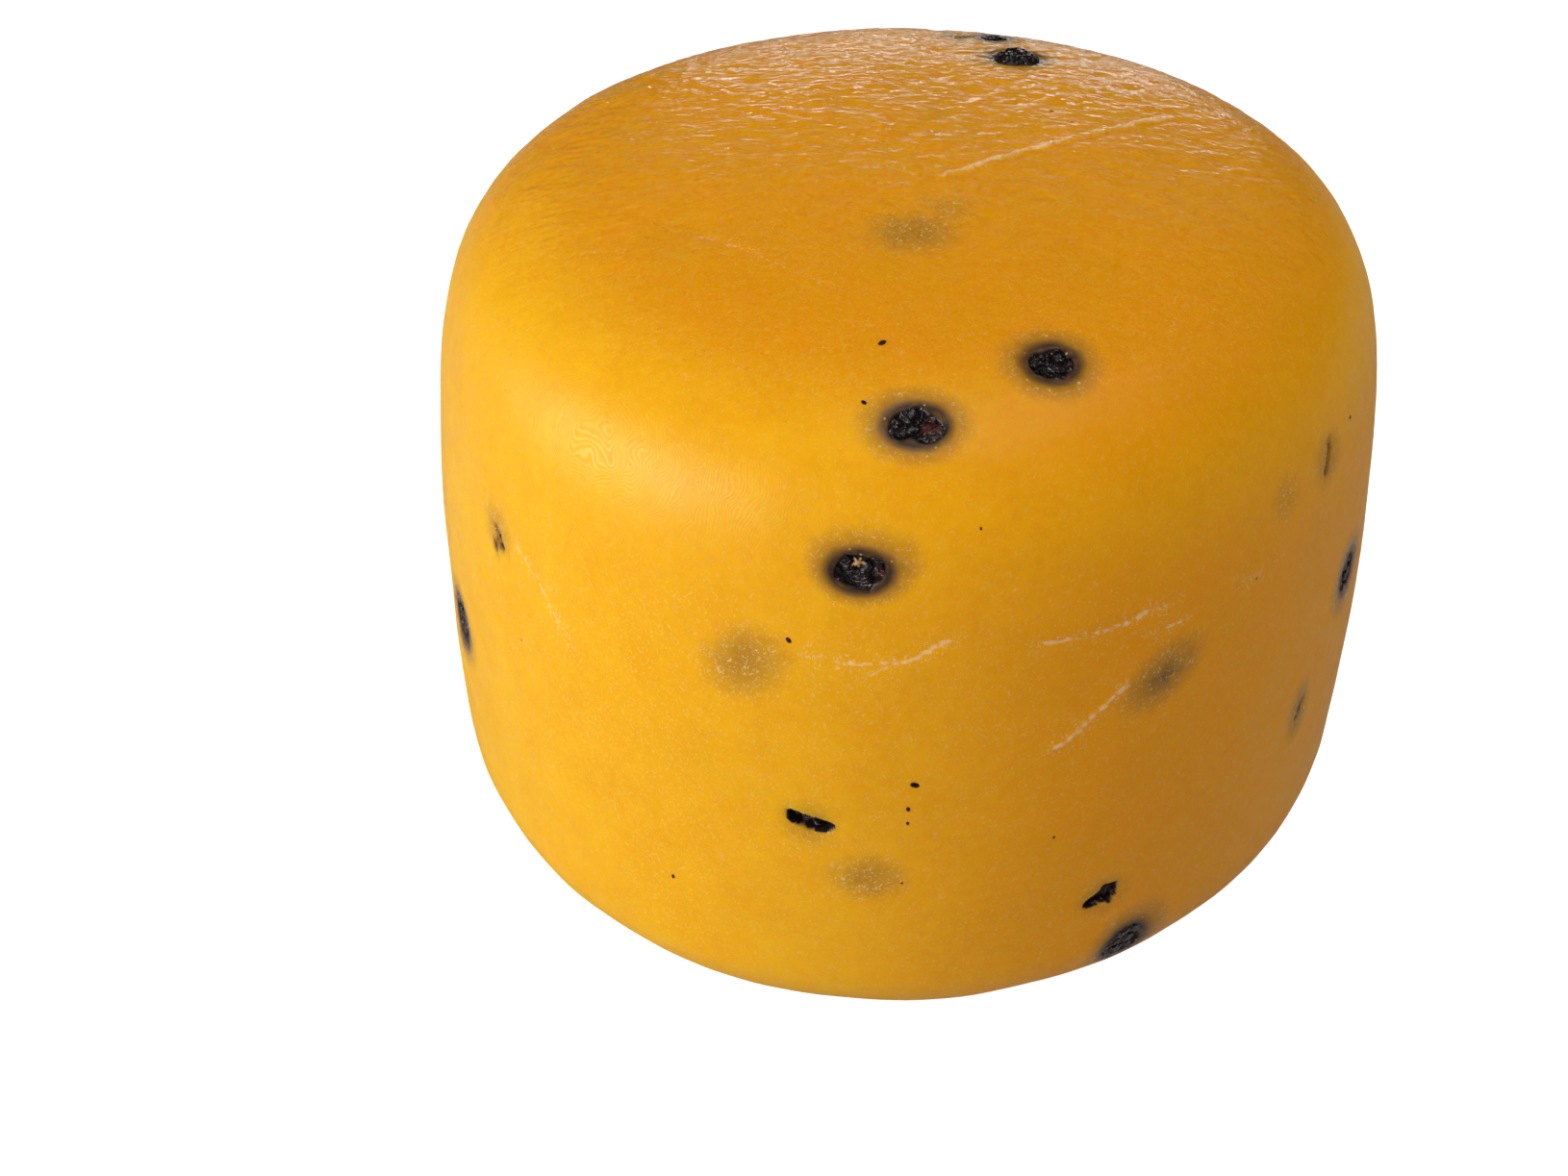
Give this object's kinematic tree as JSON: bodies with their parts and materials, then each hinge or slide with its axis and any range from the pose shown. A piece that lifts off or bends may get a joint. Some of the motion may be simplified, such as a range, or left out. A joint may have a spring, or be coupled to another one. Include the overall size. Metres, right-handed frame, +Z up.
{
  "type": "cheese wheel",
  "caption": "Small saffron-yellow cheese wheel with a domed top, rounded edges, and whole black peppercorns flush in its waxy skin.",
  "frame": {"origin": "middle of the flat base that the wheel rests on", "axes": "+Z up through the domed top, -Y towards the side with the peppercorns at the front shoulder"},
  "size_m": [0.0844, 0.0876, 0.0672],
  "materials": {
    "saffron_paste": "waxy, translucent saffron-yellow paste with a fine moist skin",
    "black_pepper": "wrinkled black-brown husk with a slight moist sheen"
  },
  "bodies": {
    "root": {"wheel": "saffron_paste", "peppercorn_top_back": "black_pepper", "peppercorn_top_back_small": "black_pepper", "peppercorn_top_right": "black_pepper", "peppercorn_top_front": "black_pepper", "peppercorn_shoulder_front": "black_pepper", "peppercorn_wall_left": "black_pepper", "peppercorn_wall_front": "black_pepper", "peppercorn_foot_front": "black_pepper", "peppercorn_foot_right": "black_pepper", "peppercorn_wall_right": "black_pepper", "peppercorn_back_a": "black_pepper", "peppercorn_back_b": "black_pepper", "peppercorn_back_c": "black_pepper", "peppercorn_back_d": "black_pepper", "peppercorn_back_e": "black_pepper", "peppercorn_base_a": "black_pepper", "peppercorn_base_b": "black_pepper"}
  },
  "joints": []
}
